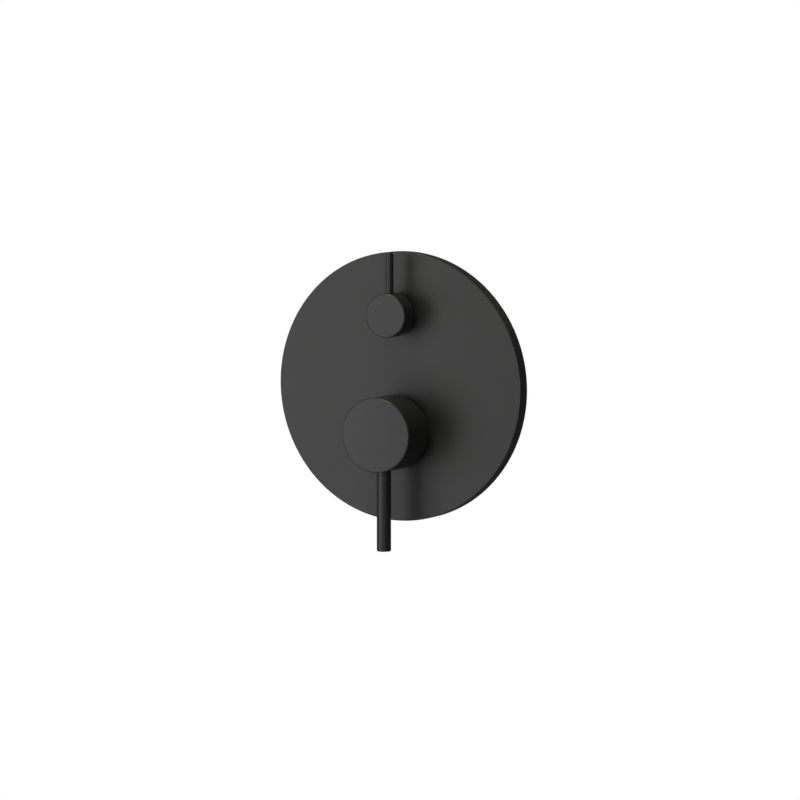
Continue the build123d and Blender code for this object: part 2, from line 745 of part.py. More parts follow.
def mixer_body():
    plane_y = PORT_PLANE_DEPTH
    tube_y = tube_depth
    left = (-INLET_REACH, plane_y, inlet_z)
    right = (INLET_REACH, plane_y, inlet_z)
    top = (0, plane_y, SHOWER_PORT_Z)
    bottom = (0, plane_y, BATH_PORT_Z)
    ways = [(left, (1, 0, 0)), (right, (-1, 0, 0)), (top, (0, 0, -1)), (bottom, (0, 0, 1))]

    # Outer form of the casting: pipes, the web between the chambers, then the two bosses
    stem = rod(bottom, top, PORT_ARM_DIAMETER)
    web_length = DIVERTER_AXIS_Z - MAIN_AXIS_Z
    web_middle = (DIVERTER_AXIS_Z + MAIN_AXIS_Z) / 2
    stem += WALL * block(PORT_ARM_DIAMETER, web_length, -plane_y, -WEB_FRONT_DEPTH, y=web_middle)
    collar_foot = COLLAR_HEIGHT - COLLAR_LENGTH
    main_boss = MAIN * boss(MAIN_BOSS_DIAMETER / 2, collar_foot)
    main_boss = cast_on(main_boss, rod(left, right, PORT_ARM_DIAMETER), CASTING_FILLET)
    diverter_boss = DIVERTER * boss(DIVERTER_BOSS_DIAMETER / 2, headwork_face)
    body = cast_on(stem, diverter_boss, CASTING_FILLET)
    body = cast_on(body, main_boss, CASTING_FILLET)

    # Tube at the back that carries the bath water down
    tube_top = (0, tube_y, DIVERTER_AXIS_Z)
    tube_bottom = (0, tube_y, BATH_TURN_Z)
    bath_tube = rod(tube_bottom, tube_top, BATH_TUBE_DIAMETER)
    for end in (tube_top, tube_bottom):
        bath_tube += Pos(*end) * Sphere(BATH_TUBE_DIAMETER / 2)
    body = cast_on(body, bath_tube, BATH_TUBE_FILLET)

    # Fixing lugs across the tube, beads round the ports and the collar for the sleeve
    lug_front = LUG_THICKNESS - back_depth
    lugs = WALL * block(LUG_SPACING, LUG_DIAMETER, -back_depth, lug_front, y=LUG_Z)
    for side in (-1, 1):
        lugs += WALL * disc(LUG_DIAMETER / 2, -back_depth, lug_front, side * LUG_SPACING / 2, LUG_Z)
    whole = body + lugs
    seams = new_edges(body, lugs, combined=whole).filter_by(Axis.Z)
    body = fillet(seams, LUG_FILLET)
    for mouth, inward in ways:
        body += bead(mouth, inward)
    body += MAIN * disc(COLLAR_DIAMETER / 2, collar_foot, COLLAR_HEIGHT)

    # Chambers for the cartridge, its nut and the diverter
    body -= MAIN * disc(housing_radius + RUNNING, seat, COLLAR_HEIGHT)
    body -= MAIN * disc(NUT_DIAMETER / 2 + RUNNING, shoulder, COLLAR_HEIGHT)
    for side in (-1, 1):
        peg = disc(
            PEG_DIAMETER / 2 + RUNNING, seat - PEG_LENGTH - FREE, seat, side * PEG_OFFSET_X, PEG_OFFSET_Z
        )
        body -= MAIN * peg
    body -= DIVERTER * disc(DIVERTER_CHAMBER_DIAMETER / 2, seat, headwork_face)
    body -= DIVERTER * disc(HEADWORK_THREAD_DIAMETER / 2, thread_end, headwork_face)

    # Hot and cold water, from the ports at the sides to the seat
    for side, mouth, inward in ((-1, left, (1, 0, 0)), (1, right, (-1, 0, 0))):
        body -= port(mouth, inward, (side * INLET_WALL / 2, plane_y, inlet_z), INLET_CHANNEL)
        body -= MAIN * disc(INLET_HOLE / 2, -plane_y, seat, side * INLET_OFFSET_X, INLET_OFFSET_Z)

    # Mixed water, from the seat up to the diverter chamber
    body -= MAIN * disc(MIXED_HOLE / 2, -GALLERY_START_DEPTH, seat, y=MIXED_OFFSET_Z)
    gallery_start = (0, GALLERY_START_DEPTH, MAIN_AXIS_Z + MIXED_OFFSET_Z)
    gallery_end = (0, GALLERY_END_DEPTH, DIVERTER_AXIS_Z - GALLERY_ENTRY)
    body -= rod(gallery_start, gallery_end, GALLERY_DIAMETER)

    # Shower water goes up to the top port, bath water down the tube at the back to the bottom port
    (shower_x, shower_y), (bath_x, bath_y) = diverter_ports()
    shower_z = DIVERTER_AXIS_Z + shower_y
    body -= DIVERTER * disc(DIVERTER_PORT / 2, -plane_y, seat, shower_x, shower_y)
    body -= rod(
        (SHOWER_CHANNEL_X, plane_y, shower_z),
        (SHOWER_CHANNEL_X, plane_y, SHOWER_PORT_Z - PORT_THREAD_LENGTH),
        SHOWER_CHANNEL,
    )
    body -= rod(top, (0, plane_y, SHOWER_PORT_Z - PORT_THREAD_LENGTH), PORT_THREAD_DIAMETER)
    body -= DIVERTER * disc(DIVERTER_PORT / 2, -tube_y, seat, bath_x, bath_y)
    body -= rod((0, tube_y, DIVERTER_AXIS_Z + bath_y), tube_bottom, BATH_CHANNEL)
    body -= rod(tube_bottom, (0, plane_y, BATH_TURN_Z), GALLERY_DIAMETER)
    body -= port(bottom, (0, 0, 1), (0, plane_y, BATH_TURN_Z), BATH_CHANNEL)

    for side in (-1, 1):
        body -= WALL * disc(LUG_HOLE / 2, -back_depth, lug_front, side * LUG_SPACING / 2, LUG_Z)
    return body


main_pin_level = main_front - MAIN_PIN_INSET
diverter_pin_level = diverter_front - DIVERTER_PIN_INSET
main_pin = lever_pin(
    MAIN_KNOB_DIAMETER / 2,
    main_pin_level,
    MAIN_PIN_DIAMETER,
    MAIN_PIN_REACH,
    MAIN_TENON_DIAMETER,
    MAIN_TENON_LENGTH,
)
diverter_pin = lever_pin(
    DIVERTER_KNOB_DIAMETER / 2,
    diverter_pin_level,
    DIVERTER_PIN_DIAMETER,
    DIVERTER_PIN_REACH,
    DIVERTER_TENON_DIAMETER,
    DIVERTER_TENON_LENGTH,
)
main_grub = grub_screw(
    LEVER_WIDTH / 2 + SNUG,
    MAIN_GRUB_LENGTH,
    main_front - MAIN_GRUB_INSET,
    MAIN_GRUB_DIAMETER,
    MAIN_GRUB_KEY,
)
diverter_grub = grub_screw(
    SPLINE_TIP / 2 + SNUG,
    DIVERTER_GRUB_LENGTH,
    diverter_front - DIVERTER_GRUB_INSET,
    DIVERTER_GRUB_DIAMETER,
    DIVERTER_GRUB_KEY,
)

PARTS = {
    "wall_plate": WALL * wall_plate(),
    "plate_seal": WALL * plate_seal(),
    "main_knob": MAIN * main_knob(),
    "main_lever_pin": MAIN * Rot(0, 0, 180) * main_pin,
    "main_grub_screw": MAIN * main_grub,
    "diverter_knob": DIVERTER * diverter_knob(),
    "diverter_lever_pin": DIVERTER * diverter_pin,
    "diverter_grub_screw": DIVERTER * diverter_grub,
    "main_sleeve": MAIN * main_sleeve(),
    "main_sleeve_o_ring": MAIN * sleeve_ring(MAIN_SLEEVE_DIAMETER / 2),
    "diverter_sleeve": DIVERTER * diverter_sleeve(),
    "diverter_sleeve_o_ring": DIVERTER * sleeve_ring(DIVERTER_SLEEVE_DIAMETER / 2),
    "cartridge_nut": MAIN * cartridge_nut(),
    "cartridge_housing": MAIN * cartridge_housing(),
    "cartridge_base": MAIN * cartridge_base(),
    "port_seals": MAIN * port_seals(),
    "fixed_disc": MAIN * fixed_disc(),
    "moving_disc": MAIN * moving_disc(),
    "disc_drive_plate": MAIN * disc_drive_plate(),
    "lever_carrier": MAIN * lever_carrier(),
    "lever_pivot_pin": MAIN * lever_pivot_pin(),
    "cartridge_lever": MAIN * cartridge_lever(),
    "diverter_headwork": DIVERTER * diverter_headwork(),
    "headwork_o_ring": DIVERTER * headwork_o_ring(),
    "diverter_base_seal": DIVERTER * diverter_base_seal(),
    "diverter_fixed_disc": DIVERTER * diverter_fixed_disc(),
    "diverter_moving_disc": DIVERTER * diverter_moving_disc(),
    "diverter_spindle": DIVERTER * diverter_spindle(),
    "spindle_o_rings": DIVERTER * spindle_o_rings(),
    "spindle_clip": DIVERTER * spindle_clip(),
    "mixer_body": mixer_body(),
}

os.makedirs("parts", exist_ok=True)
for name, solid in PARTS.items():
    export_step(solid, f"parts/{name}.step")
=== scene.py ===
# Concealed bath shower mixer: a brass body set in the wall, with a mixing cartridge below and a
# diverter above, behind a round matte black plate with two cylinder knobs and their lever pins.
from math import cos, pi, radians, sin

import bmesh
import bpy
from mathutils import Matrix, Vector


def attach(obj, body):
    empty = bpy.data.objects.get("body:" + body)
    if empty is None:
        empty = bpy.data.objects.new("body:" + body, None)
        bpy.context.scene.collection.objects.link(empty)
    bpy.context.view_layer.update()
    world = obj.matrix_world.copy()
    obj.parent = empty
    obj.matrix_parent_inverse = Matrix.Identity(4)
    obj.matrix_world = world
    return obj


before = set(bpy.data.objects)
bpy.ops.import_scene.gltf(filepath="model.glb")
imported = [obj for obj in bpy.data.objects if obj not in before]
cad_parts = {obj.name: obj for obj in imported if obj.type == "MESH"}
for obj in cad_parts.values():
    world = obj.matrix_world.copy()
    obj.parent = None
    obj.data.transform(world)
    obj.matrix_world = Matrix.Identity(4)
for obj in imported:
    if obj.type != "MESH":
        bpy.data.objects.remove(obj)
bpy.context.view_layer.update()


# Mixer body: sand-cast brass, set in the wall behind the plate. The pipe ports, both chambers and the
# collar are machined after casting, and are brighter than the dull skin that the sand leaves.

def put(tree, kind, inputs=None, **settings):
    """Add a node, set its properties, and set or link its inputs."""
    node = tree.nodes.new(kind)
    for key, value in settings.items():
        setattr(node, key, value)
    for key, value in (inputs or {}).items():
        if isinstance(value, bpy.types.NodeSocket):
            tree.links.new(value, node.inputs[key])
        else:
            node.inputs[key].default_value = value
    return node


def reckon(tree, operation, *values):
    """Math node on two or three values; returns its result."""
    return put(tree, "ShaderNodeMath", dict(enumerate(values)), operation=operation).outputs[0]


def mix_value(tree, factor, first, second):
    """Value between first and second."""
    inputs = {"Factor": factor, "A": first, "B": second}
    return put(tree, "ShaderNodeMix", inputs).outputs["Result"]


def mix_colour(tree, factor, first, second):
    """Colour between first and second."""
    inputs = {0: factor, 6: first, 7: second}
    return put(tree, "ShaderNodeMix", inputs, data_type="RGBA").outputs[2]


def shader_group(name, inputs, outputs):
    """Empty shader node group with named sockets; returns it with its input and output nodes."""
    tree = bpy.data.node_groups.new(name, "ShaderNodeTree")
    for label, kind in inputs:
        tree.interface.new_socket(label, in_out="INPUT", socket_type="NodeSocket" + kind)
    for label in outputs:
        tree.interface.new_socket(label, in_out="OUTPUT", socket_type="NodeSocketFloat")
    return tree, tree.nodes.new("NodeGroupInput").outputs, tree.nodes.new("NodeGroupOutput").inputs


def make_grain():
    """Fine grain for bump, and slow patches for colour and gloss."""
    sockets = [("Coordinates", "Vector"), ("Grains", "Float"), ("Patches", "Float")]
    tree, given, result = shader_group("grain", sockets, ["Height", "Patch"])
    fine = put(tree, "ShaderNodeTexNoise", {
        "Vector": given["Coordinates"], "Scale": given["Grains"], "Detail": 3.0, "Roughness": 0.6})
    slow = put(tree, "ShaderNodeTexNoise", {
        "Vector": given["Coordinates"], "Scale": given["Patches"], "Detail": 4.0, "Roughness": 0.55})
    spread = put(tree, "ShaderNodeMapRange", {
        "Value": slow.outputs["Fac"], "From Min": 0.32, "From Max": 0.68})
    tree.links.new(fine.outputs["Fac"], result["Height"])
    tree.links.new(spread.outputs["Result"], result["Patch"])
    return tree


def make_turning():
    """Uneven tool lines of the lathe, round an axis along Y at a given height."""
    sockets = [("Coordinates", "Vector"), ("Axis Height", "Float"), ("Lines", "Float")]
    tree, given, result = shader_group("turning", sockets, ["Height"])
    place = put(tree, "ShaderNodeSeparateXYZ", {"Vector": given["Coordinates"]}).outputs
    rise = reckon(tree, "SUBTRACT", place["Z"], given["Axis Height"])
    square = reckon(tree, "MULTIPLY", rise, rise)
    radius = reckon(tree, "SQRT", reckon(tree, "MULTIPLY_ADD", place["X"], place["X"], square))
    travel = reckon(tree, "ADD", radius, place["Y"])
    lines = put(tree, "ShaderNodeTexNoise", {
        "W": travel, "Scale": given["Lines"], "Detail": 2.0}, noise_dimensions="1D")
    tree.links.new(lines.outputs["Fac"], result["Height"])
    return tree


def make_machined():
    """Mask of a round cut from a mouth along an axis, to a radius and a depth."""
    sockets = [("Coordinates", "Vector"), ("Mouth", "Vector"), ("Along", "Vector"),
               ("Radius", "Float"), ("Depth", "Float")]
    tree, given, result = shader_group("machined", sockets, ["Mask"])
    away = put(tree, "ShaderNodeVectorMath", {
        0: given["Coordinates"], 1: given["Mouth"]}, operation="SUBTRACT").outputs["Vector"]
    deep = put(tree, "ShaderNodeVectorMath", {
        0: away, 1: given["Along"]}, operation="DOT_PRODUCT").outputs["Value"]
    aside = put(tree, "ShaderNodeVectorMath", {
        0: away, 1: given["Along"]}, operation="CROSS_PRODUCT").outputs["Vector"]
    radius = put(tree, "ShaderNodeVectorMath", {0: aside}, operation="LENGTH").outputs["Value"]
    within = reckon(tree, "LESS_THAN", radius, given["Radius"])
    reached = reckon(tree, "LESS_THAN", deep, given["Depth"])
    tree.links.new(reckon(tree, "MULTIPLY", within, reached), result["Mask"])
    return tree


def use(tree, group, **values):
    """Place a node group; underscores in names stand for spaces."""
    node = put(tree, "ShaderNodeGroup", node_tree=group)
    for key, value in values.items():
        socket = node.inputs[key.replace("_", " ")]
        if isinstance(value, bpy.types.NodeSocket):
            tree.links.new(value, socket)
        else:
            socket.default_value = value
    return node.outputs


def new_finish(name):
    """New material: its tree, its Principled shader's inputs and its Object coordinates."""
    material = bpy.data.materials.new(name)
    material.use_nodes = True
    tree = material.node_tree
    surface = tree.nodes["Principled BSDF"].inputs
    return material, tree, surface, put(tree, "ShaderNodeTexCoord").outputs["Object"]


def add_bump(tree, surface, height, depth, strength):
    """Bump the shader's normal by a height of the given depth in metres."""
    inputs = {"Height": height, "Distance": depth, "Strength": strength}
    tree.links.new(put(tree, "ShaderNodeBump", inputs).outputs["Normal"], surface["Normal"])


def dress(material, *nodes):
    """Give CAD nodes a material."""
    for node in nodes:
        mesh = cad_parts[node].data
        mesh.materials.clear()
        mesh.materials.append(material)


grain = make_grain()
turning = make_turning()
machined = make_machined()

MAIN_Z = -0.0281
DIVERTER_Z = 0.0459
INLET_Z = -0.0353
PORT_Y = 0.038
INLET_X = 0.049
SHOWER_Z = 0.072
BATH_Z = -0.076

# Each port's mouth, and the direction into it
PORTS = [
    ((-INLET_X, PORT_Y, INLET_Z), (1, 0, 0)),
    ((INLET_X, PORT_Y, INLET_Z), (-1, 0, 0)),
    ((0, PORT_Y, SHOWER_Z), (0, 0, -1)),
    ((0, PORT_Y, BATH_Z), (0, 0, 1)),
]
INTO_WALL = (0, 1, 0)

FACING_DEPTH = 0.0002
PORT_FACE_RADIUS = 0.0146
PORT_BORE_RADIUS = 0.0096
PORT_BORE_DEPTH = 0.0145
COLLAR_FRONT = (0, -0.002, MAIN_Z)
COLLAR_RADIUS = 0.0202
COLLAR_AND_CHAMBER_DEPTH = 0.0295
SHOULDER_RADIUS = 0.0237
SHOULDER_DEPTH = 0.0102
DIVERTER_FRONT = (0, 0.003, DIVERTER_Z)
DIVERTER_FACE_RADIUS = 0.0167
DIVERTER_BORE_RADIUS = 0.0122
DIVERTER_BORE_DEPTH = 0.0235

# Cuts as mouth, direction, radius and depth
cuts = [(mouth, inward, PORT_FACE_RADIUS, FACING_DEPTH) for mouth, inward in PORTS]
cuts += [(mouth, inward, PORT_BORE_RADIUS, PORT_BORE_DEPTH) for mouth, inward in PORTS]
cuts += [
    (COLLAR_FRONT, INTO_WALL, COLLAR_RADIUS, COLLAR_AND_CHAMBER_DEPTH),
    (COLLAR_FRONT, INTO_WALL, SHOULDER_RADIUS, SHOULDER_DEPTH),
    (DIVERTER_FRONT, INTO_WALL, DIVERTER_FACE_RADIUS, FACING_DEPTH),
    (DIVERTER_FRONT, INTO_WALL, DIVERTER_BORE_RADIUS, DIVERTER_BORE_DEPTH),
]

CAST_DARK = (0.57, 0.39, 0.165, 1)
CAST_LIGHT = (0.71, 0.515, 0.245, 1)
CUT_BRASS = (0.83, 0.63, 0.31, 1)
TOOL_LINE_SHARE = 0.06

cast_brass, tree, surface, place = new_finish("sand_cast_brass")
mask = 0.0
for mouth, inward, radius, depth in cuts:
    cut = use(tree, machined, Coordinates=place, Mouth=mouth, Along=inward, Radius=radius, Depth=depth)
    mask = reckon(tree, "MAXIMUM", mask, cut["Mask"])
skin = use(tree, grain, Coordinates=place, Grains=1500.0, Patches=45.0)
tool = use(tree, turning, Coordinates=place, Axis_Height=MAIN_Z, Lines=5200.0)
dull = mix_colour(tree, skin["Patch"], CAST_DARK, CAST_LIGHT)
tree.links.new(mix_colour(tree, mask, dull, CUT_BRASS), surface["Base Color"])
rough = mix_value(tree, skin["Patch"], 0.62, 0.5)
tree.links.new(mix_value(tree, mask, rough, 0.27), surface["Roughness"])
surface["Metallic"].default_value = 1.0
fine_tool = reckon(tree, "MULTIPLY", tool["Height"], TOOL_LINE_SHARE)
relief = mix_value(tree, mask, skin["Height"], fine_tool)
add_bump(tree, surface, relief, depth=0.00035, strength=0.7)
dress(cast_brass, "mixer_body")


# Pipe threads: the half-inch threads cut in the four ports, and the turns of the collar's own thread
# that show behind the cover sleeve. They are part of the casting.

def thread_nodes(material):
    """Screw ridges: one right-hand helix at each point, along its direction."""
    tree = bpy.data.node_groups.new("screw_thread", "GeometryNodeTree")
    tree.interface.new_socket("Starts", in_out="INPUT", socket_type="NodeSocketGeometry")
    sizes = {}
    for label in ("Radius", "Pitch", "Turns", "Ridge"):
        sizes[label] = tree.interface.new_socket(
            label, in_out="INPUT", socket_type="NodeSocketFloat").identifier
    tree.interface.new_socket("Threads", in_out="OUTPUT", socket_type="NodeSocketGeometry")
    given = put(tree, "NodeGroupInput").outputs
    rise = reckon(tree, "MULTIPLY", given["Pitch"], given["Turns"])
    helix = put(tree, "GeometryNodeCurveSpiral", {
        "Resolution": 48, "Rotations": given["Turns"], "Start Radius": given["Radius"],
        "End Radius": given["Radius"], "Height": rise}).outputs["Curve"]
    upright = put(tree, "GeometryNodeSetCurveNormal", {"Curve": helix}, mode="Z_UP").outputs["Curve"]
    profile = put(tree, "GeometryNodeCurvePrimitiveCircle", {
        "Resolution": 4, "Radius": given["Ridge"]}).outputs["Curve"]
    ridge = put(tree, "GeometryNodeCurveToMesh", {
        "Curve": upright, "Profile Curve": profile, "Fill Caps": True}).outputs["Mesh"]
    inward = put(tree, "GeometryNodeInputNamedAttribute", {
        "Name": "inward"}, data_type="FLOAT_VECTOR").outputs["Attribute"]
    turned = put(tree, "FunctionNodeAlignRotationToVector", {"Vector": inward}, axis="Z").outputs[0]
    copies = put(tree, "GeometryNodeInstanceOnPoints", {
        "Points": given["Starts"], "Instance": ridge, "Rotation": turned}).outputs["Instances"]
    whole = put(tree, "GeometryNodeRealizeInstances", {"Geometry": copies}).outputs["Geometry"]
    flat = put(tree, "GeometryNodeSetShadeSmooth", {
        "Geometry": whole, "Shade Smooth": False}).outputs["Geometry"]
    done = put(tree, "GeometryNodeSetMaterial", {
        "Geometry": flat, "Material": material}).outputs["Geometry"]
    put(tree, "NodeGroupOutput", {"Threads": done})
    return tree, sizes


def grow(name, points, edges, tree, inputs, directions=None):
    """Run a geometry node tree on a mesh of points and edges, and keep the result as a plain mesh."""
    base = bpy.data.meshes.new(name)
    base.from_pydata(points, edges, [])
    if directions:
        given = base.attributes.new("inward", "FLOAT_VECTOR", "POINT")
        given.data.foreach_set("vector", [value for way in directions for value in way])
    piece = bpy.data.objects.new(name, base)
    bpy.context.scene.collection.objects.link(piece)
    modifier = piece.modifiers.new(name, "NODES")
    modifier.node_group = tree
    for identifier, value in inputs.items():
        modifier[identifier] = value
    made = piece.evaluated_get(bpy.context.evaluated_depsgraph_get())
    mesh = bpy.data.meshes.new_from_object(made)
    piece.modifiers.clear()
    piece.data = mesh
    return piece


screw_thread, thread_sizes = thread_nodes(cast_brass)


def add_thread(name, starts, directions, radius, pitch, turns, ridge):
    """Threads on the body at the given starts."""
    sizes = {"Radius": radius, "Pitch": pitch, "Turns": turns, "Ridge": ridge}
    inputs = {thread_sizes[label]: value for label, value in sizes.items()}
    piece = grow(name, starts, [], screw_thread, inputs, directions)
    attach(piece, "wall_unit")


LEAD_IN = 0.0008
starts = [Vector(mouth) + Vector(inward) * LEAD_IN for mouth, inward in PORTS]
directions = [inward for mouth, inward in PORTS]
add_thread("pipe_threads", starts, directions,
           radius=0.0093, pitch=0.001814, turns=6.6, ridge=0.00062)
COLLAR_THREAD_START = (0, 0.0054, MAIN_Z)
add_thread("collar_thread", [COLLAR_THREAD_START], [INTO_WALL],
           radius=0.0200, pitch=0.0010, turns=2.3, ridge=0.00042)


# Casting seam: the low ridge that the two halves of the mould leave on the casting, in the plane of
# the pipes. The beads round the ports are turned afterwards, so it stops short of them.

def seam_nodes(material):
    """Half-round ridge along the given lines."""
    tree = bpy.data.node_groups.new("casting_seam", "GeometryNodeTree")
    tree.interface.new_socket("Lines", in_out="INPUT", socket_type="NodeSocketGeometry")
    width = tree.interface.new_socket(
        "Half Width", in_out="INPUT", socket_type="NodeSocketFloat").identifier
    tree.interface.new_socket("Seam", in_out="OUTPUT", socket_type="NodeSocketGeometry")
    given = put(tree, "NodeGroupInput").outputs
    path = put(tree, "GeometryNodeMeshToCurve", {"Mesh": given["Lines"]}).outputs["Curve"]
    profile = put(tree, "GeometryNodeCurvePrimitiveCircle", {
        "Resolution": 8, "Radius": given["Half Width"]}).outputs["Curve"]
    ridge = put(tree, "GeometryNodeCurveToMesh", {
        "Curve": path, "Profile Curve": profile, "Fill Caps": True}).outputs["Mesh"]
    whole = put(tree, "GeometryNodeRealizeInstances", {"Geometry": ridge}).outputs["Geometry"]
    done = put(tree, "GeometryNodeSetMaterial", {
        "Geometry": whole, "Material": material}).outputs["Geometry"]
    put(tree, "NodeGroupOutput", {"Seam": done})
    return tree, width


BEAD_LENGTH = 0.0095
PIPE_INSIDE = 0.012
SEAM_HALF_WIDTH = 0.00035
WELD = 0.000001


def on_seam(point):
    """Whether a point of the section is on the casting's outside, between the beads."""
    outside = abs(point.x) > PIPE_INSIDE and abs(point.z - INLET_Z) > PIPE_INSIDE
    across = abs(point.x) < INLET_X - BEAD_LENGTH
    return outside and across and BATH_Z + BEAD_LENGTH < point.z < SHOWER_Z - BEAD_LENGTH


section = bmesh.new()
section.from_mesh(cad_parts["mixer_body"].data)
bmesh.ops.remove_doubles(section, verts=section.verts, dist=WELD)
everything = section.verts[:] + section.edges[:] + section.faces[:]
found = bmesh.ops.bisect_plane(
    section, geom=everything, plane_co=(0, PORT_Y, 0), plane_no=INTO_WALL)["geom_cut"]
lines = [item for item in found if isinstance(item, bmesh.types.BMEdge)]
lines = [line for line in lines if all(on_seam(vert.co) for vert in line.verts)]
verts = list(dict.fromkeys(vert for line in lines for vert in line.verts))
places = {vert: number for number, vert in enumerate(verts)}
seam_points = [vert.co.copy() for vert in verts]
seam_edges = [tuple(places[vert] for vert in line.verts) for line in lines]
section.free()
casting_seam, seam_width = seam_nodes(cast_brass)
seam = grow("casting_seam", seam_points, seam_edges, casting_seam, {seam_width: SEAM_HALF_WIDTH})
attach(seam, "wall_unit")


# Rubber: the rings and washers that seal the discs, the headwork, the spindle and the two sleeves.
# They are moulded nitrile, matte, with a faint bloom.

RUBBER_BLACK = (0.016, 0.016, 0.017, 1)
RUBBER_BLOOM = (0.034, 0.034, 0.035, 1)
rubber, tree, surface, place = new_finish("nitrile_rubber")
skin = use(tree, grain, Coordinates=place, Grains=2600.0, Patches=260.0)
tree.links.new(mix_colour(tree, skin["Patch"], RUBBER_BLACK, RUBBER_BLOOM), surface["Base Color"])
tree.links.new(mix_value(tree, skin["Patch"], 0.55, 0.72), surface["Roughness"])
add_bump(tree, surface, skin["Height"], depth=0.00006, strength=0.5)
dress(rubber, "port_seals", "headwork_o_ring", "diverter_base_seal", "spindle_o_rings",
      "main_sleeve_o_ring", "diverter_sleeve_o_ring")


# Cartridge housing and base: injection-moulded white plastic, pegged into the body's seat and held
# there by the ring nut. The surface has the light texture of an eroded mould.

PLASTIC_DULL = (0.74, 0.75, 0.74, 1)
PLASTIC_WHITE = (0.81, 0.815, 0.80, 1)
white_plastic, tree, surface, place = new_finish("moulded_white_plastic")
skin = use(tree, grain, Coordinates=place, Grains=3200.0, Patches=90.0)
tree.links.new(mix_colour(tree, skin["Patch"], PLASTIC_DULL, PLASTIC_WHITE), surface["Base Color"])
tree.links.new(mix_value(tree, skin["Height"], 0.38, 0.52), surface["Roughness"])
add_bump(tree, surface, skin["Height"], depth=0.00004, strength=0.6)
dress(white_plastic, "cartridge_housing", "cartridge_base")


# Ceramic discs: fired white alumina, lapped flat. Two pairs: the mixing discs in the cartridge and
# the diverter's pair in its cage.

ALUMINA_DULL = (0.83, 0.82, 0.775, 1)
ALUMINA_WHITE = (0.88, 0.87, 0.835, 1)
ceramic, tree, surface, place = new_finish("fired_alumina")
skin = use(tree, grain, Coordinates=place, Grains=5200.0, Patches=380.0)
tree.links.new(mix_colour(tree, skin["Patch"], ALUMINA_DULL, ALUMINA_WHITE), surface["Base Color"])
tree.links.new(mix_value(tree, skin["Height"], 0.10, 0.22), surface["Roughness"])
add_bump(tree, surface, skin["Height"], depth=0.00001, strength=0.4)
dress(ceramic, "fixed_disc", "moving_disc", "diverter_fixed_disc", "diverter_moving_disc")


# Carrier and slider: grey moulded acetal. The carrier turns in the housing and holds the lever's
# pivot; the slider under it carries the moving disc.

ACETAL_DARK = (0.27, 0.29, 0.31, 1)
ACETAL_LIGHT = (0.35, 0.37, 0.39, 1)
grey_plastic, tree, surface, place = new_finish("grey_acetal")
skin = use(tree, grain, Coordinates=place, Grains=2800.0, Patches=120.0)
tree.links.new(mix_colour(tree, skin["Patch"], ACETAL_DARK, ACETAL_LIGHT), surface["Base Color"])
tree.links.new(mix_value(tree, skin["Height"], 0.26, 0.4), surface["Roughness"])
add_bump(tree, surface, skin["Height"], depth=0.00003, strength=0.5)
dress(grey_plastic, "lever_carrier", "disc_drive_plate")


# Lever: die-cast zinc, tumbled and plated. It tips on its pivot pin in the carrier, its ball moves the
# slider, and the main knob sits on its square stem.

ZINC_DARK = (0.54, 0.545, 0.54, 1)
ZINC_LIGHT = (0.66, 0.66, 0.645, 1)
zinc, tree, surface, place = new_finish("tumbled_zinc")
skin = use(tree, grain, Coordinates=place, Grains=1900.0, Patches=210.0)
tree.links.new(mix_colour(tree, skin["Patch"], ZINC_DARK, ZINC_LIGHT), surface["Base Color"])
tree.links.new(mix_value(tree, skin["Patch"], 0.46, 0.34), surface["Roughness"])
surface["Metallic"].default_value = 1.0
add_bump(tree, surface, skin["Height"], depth=0.00006, strength=0.6)
dress(zinc, "cartridge_lever")


# Steel: the lever's pivot pin, the spindle's clip and the two grub screws, all stainless, with the
# fine scratches of drawn wire.

STEEL_DARK = (0.50, 0.505, 0.515, 1)
STEEL_LIGHT = (0.61, 0.61, 0.615, 1)
DRAWN_OUT = (1.0, 9.0, 9.0)
steel, tree, surface, place = new_finish("drawn_stainless")
drawn = put(tree, "ShaderNodeMapping", {"Vector": place, "Scale": DRAWN_OUT}).outputs["Vector"]
skin = use(tree, grain, Coordinates=drawn, Grains=900.0, Patches=160.0)
tree.links.new(mix_colour(tree, skin["Patch"], STEEL_DARK, STEEL_LIGHT), surface["Base Color"])
tree.links.new(mix_value(tree, skin["Height"], 0.22, 0.38), surface["Roughness"])
surface["Metallic"].default_value = 1.0
add_bump(tree, surface, skin["Height"], depth=0.00002, strength=0.5)
dress(steel, "lever_pivot_pin", "spindle_clip", "main_grub_screw", "diverter_grub_screw")


# Turned brass: the ring nut over the cartridge, and the diverter's headwork and splined spindle. They
# are cut from bar and keep the lathe's lines, each round its own axis.

BAR_DARK = (0.70, 0.515, 0.235, 1)
BAR_LIGHT = (0.82, 0.625, 0.31, 1)


def turned_brass(name, axis_height):
    """Bar brass with tool lines round one of the two axes."""
    material, tree, surface, place = new_finish(name)
    skin = use(tree, grain, Coordinates=place, Grains=2400.0, Patches=180.0)
    tool = use(tree, turning, Coordinates=place, Axis_Height=axis_height, Lines=6200.0)
    tree.links.new(mix_colour(tree, skin["Patch"], BAR_DARK, BAR_LIGHT), surface["Base Color"])
    tree.links.new(mix_value(tree, tool["Height"], 0.2, 0.36), surface["Roughness"])
    surface["Metallic"].default_value = 1.0
    add_bump(tree, surface, tool["Height"], depth=0.00003, strength=0.6)
    return material


dress(turned_brass("bar_brass_main", MAIN_Z), "cartridge_nut")
dress(turned_brass("bar_brass_diverter", DIVERTER_Z), "diverter_headwork", "diverter_spindle")


# Trim: the wall plate, both cover sleeves, both knobs and their lever pins. Brass under an even matte
# black coat, sprayed and cured, with an orange peel too fine to see from a metre away. The turned knobs
# and pins are polished before the coat, which lies a little smoother on them than on the plate.

COAT_DARK = (0.0202, 0.0202, 0.0208, 1)
COAT_LIGHT = (0.0240, 0.0240, 0.0247, 1)


